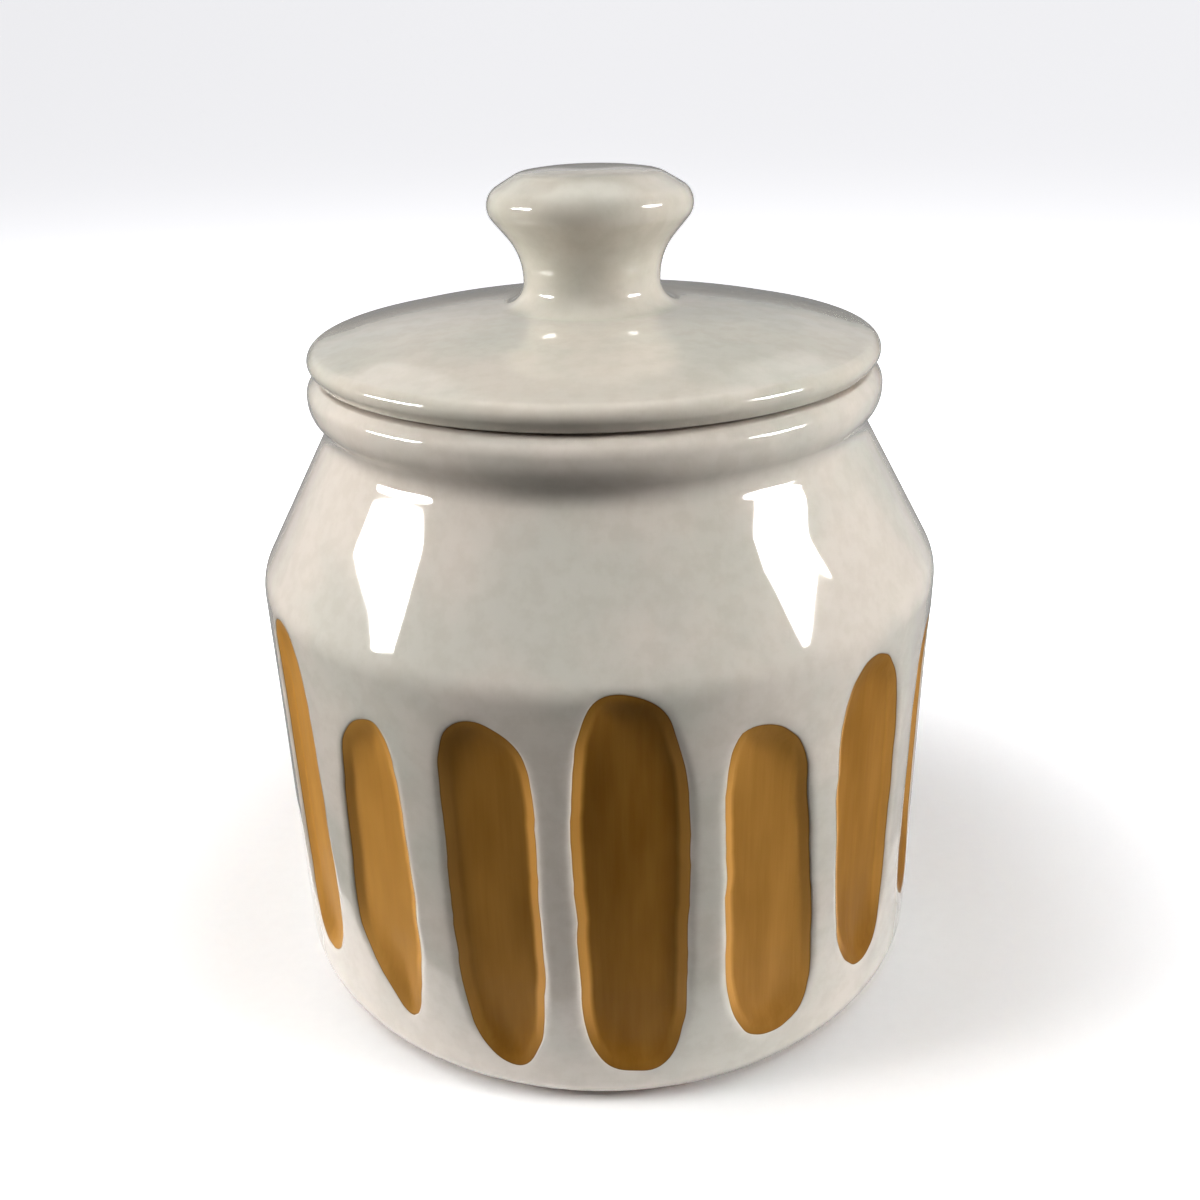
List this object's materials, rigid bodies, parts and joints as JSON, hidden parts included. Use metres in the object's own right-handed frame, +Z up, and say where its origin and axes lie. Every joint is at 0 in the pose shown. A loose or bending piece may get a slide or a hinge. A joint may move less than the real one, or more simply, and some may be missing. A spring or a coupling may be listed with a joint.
{
  "type": "candy jar",
  "caption": "Round lidded stoneware jar with carved oval flutes round its straight wall, a sloping shoulder, a beaded rim and a flat lid with a mushroom knob.",
  "frame": {"origin": "centre of the foot's resting plane, on the jar's turning axis", "axes": "+Z up along the turning axis through the knob; -Y is the front, where the widest flute is; +X is to the right as seen from the front"},
  "size_m": [0.1602, 0.1602, 0.1893],
  "materials": {
    "jar_glaze": "glossy",
    "lid_glaze": "glossy"
  },
  "bodies": {
    "jar": {"jar_body": "jar_glaze"},
    "lid": {"lid": "lid_glaze"}
  },
  "joints": [
    {"name": "lid_lift", "type": "slide", "parent": "jar", "child": "lid", "axis": [0, 0, 1], "range_m": [0, 0.12]}
  ]
}
